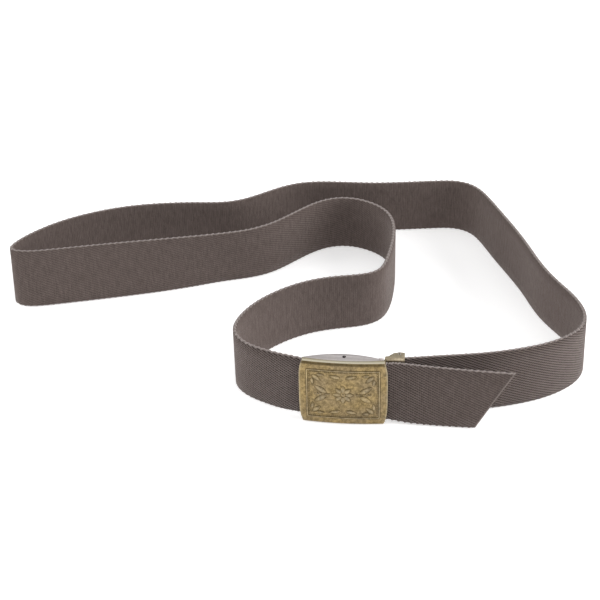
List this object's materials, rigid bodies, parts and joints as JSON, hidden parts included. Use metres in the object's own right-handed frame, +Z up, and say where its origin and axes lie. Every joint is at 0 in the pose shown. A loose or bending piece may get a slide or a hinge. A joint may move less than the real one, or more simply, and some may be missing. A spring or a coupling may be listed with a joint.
{
  "type": "elastic_belt",
  "caption": "Woven elastic belt standing on its edge in a winding loop, fastened through a bowed rectangular plate buckle with a hinged end clamp and a diagonally cut tail.",
  "frame": {"origin": "Middle of the floor rectangle that the standing loop covers, at floor level.", "axes": "+X to the right along the loop's length, towards the bend beside the tail; +Y back, away from the buckle's face; +Z up, across the strap's width."},
  "size_m": [0.3569, 0.2392, 0.0415],
  "materials": {
    "webbing": "matte woven",
    "plate_brass": "antiqued satin",
    "bracket_steel": "satin",
    "clamp_brass": "antiqued satin"
  },
  "bodies": {
    "root": {"strap": "webbing", "buckle_plate": "plate_brass", "buckle_bracket": "bracket_steel", "lock_bar": "bracket_steel", "clamp_body": "clamp_brass", "clamp_flap": "clamp_brass", "clamp_pin": "bracket_steel"}
  },
  "joints": []
}
